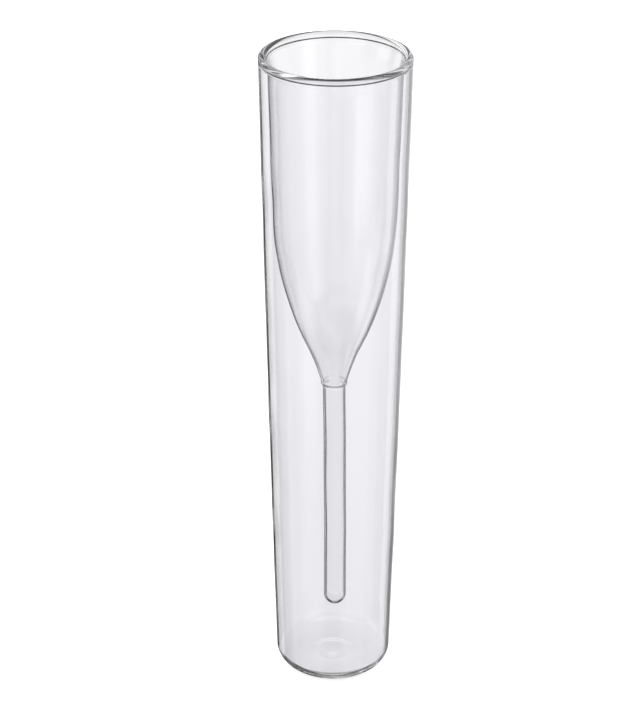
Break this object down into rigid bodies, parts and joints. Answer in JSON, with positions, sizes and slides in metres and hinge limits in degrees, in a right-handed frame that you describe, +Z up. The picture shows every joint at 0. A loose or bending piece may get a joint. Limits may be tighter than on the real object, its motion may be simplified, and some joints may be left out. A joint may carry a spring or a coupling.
{
  "type": "double-wall champagne flute",
  "caption": "Double-wall glass champagne flute: a flute bowl on a hollow stem hangs inside a straight tapered outer glass with a closed flat base.",
  "frame": {"origin": "centre of the base, on the surface that the glass stands on", "axes": "+Z up along the glass's axis of revolution, +X to the right as seen from the front"},
  "size_m": [0.05, 0.05, 0.23],
  "materials": {
    "outer_glass": "clear blown borosilicate, smooth and glossy",
    "inner_glass": "clear blown borosilicate, smooth and glossy",
    "fused_glass": "clear fire-polished borosilicate, rounded by the flame"
  },
  "bodies": {
    "root": {"outer_shell": "outer_glass", "rim_bead": "fused_glass", "flute_bowl": "inner_glass", "stem_weld": "fused_glass", "stem_tube": "inner_glass", "vent_seal": "fused_glass"}
  },
  "joints": []
}
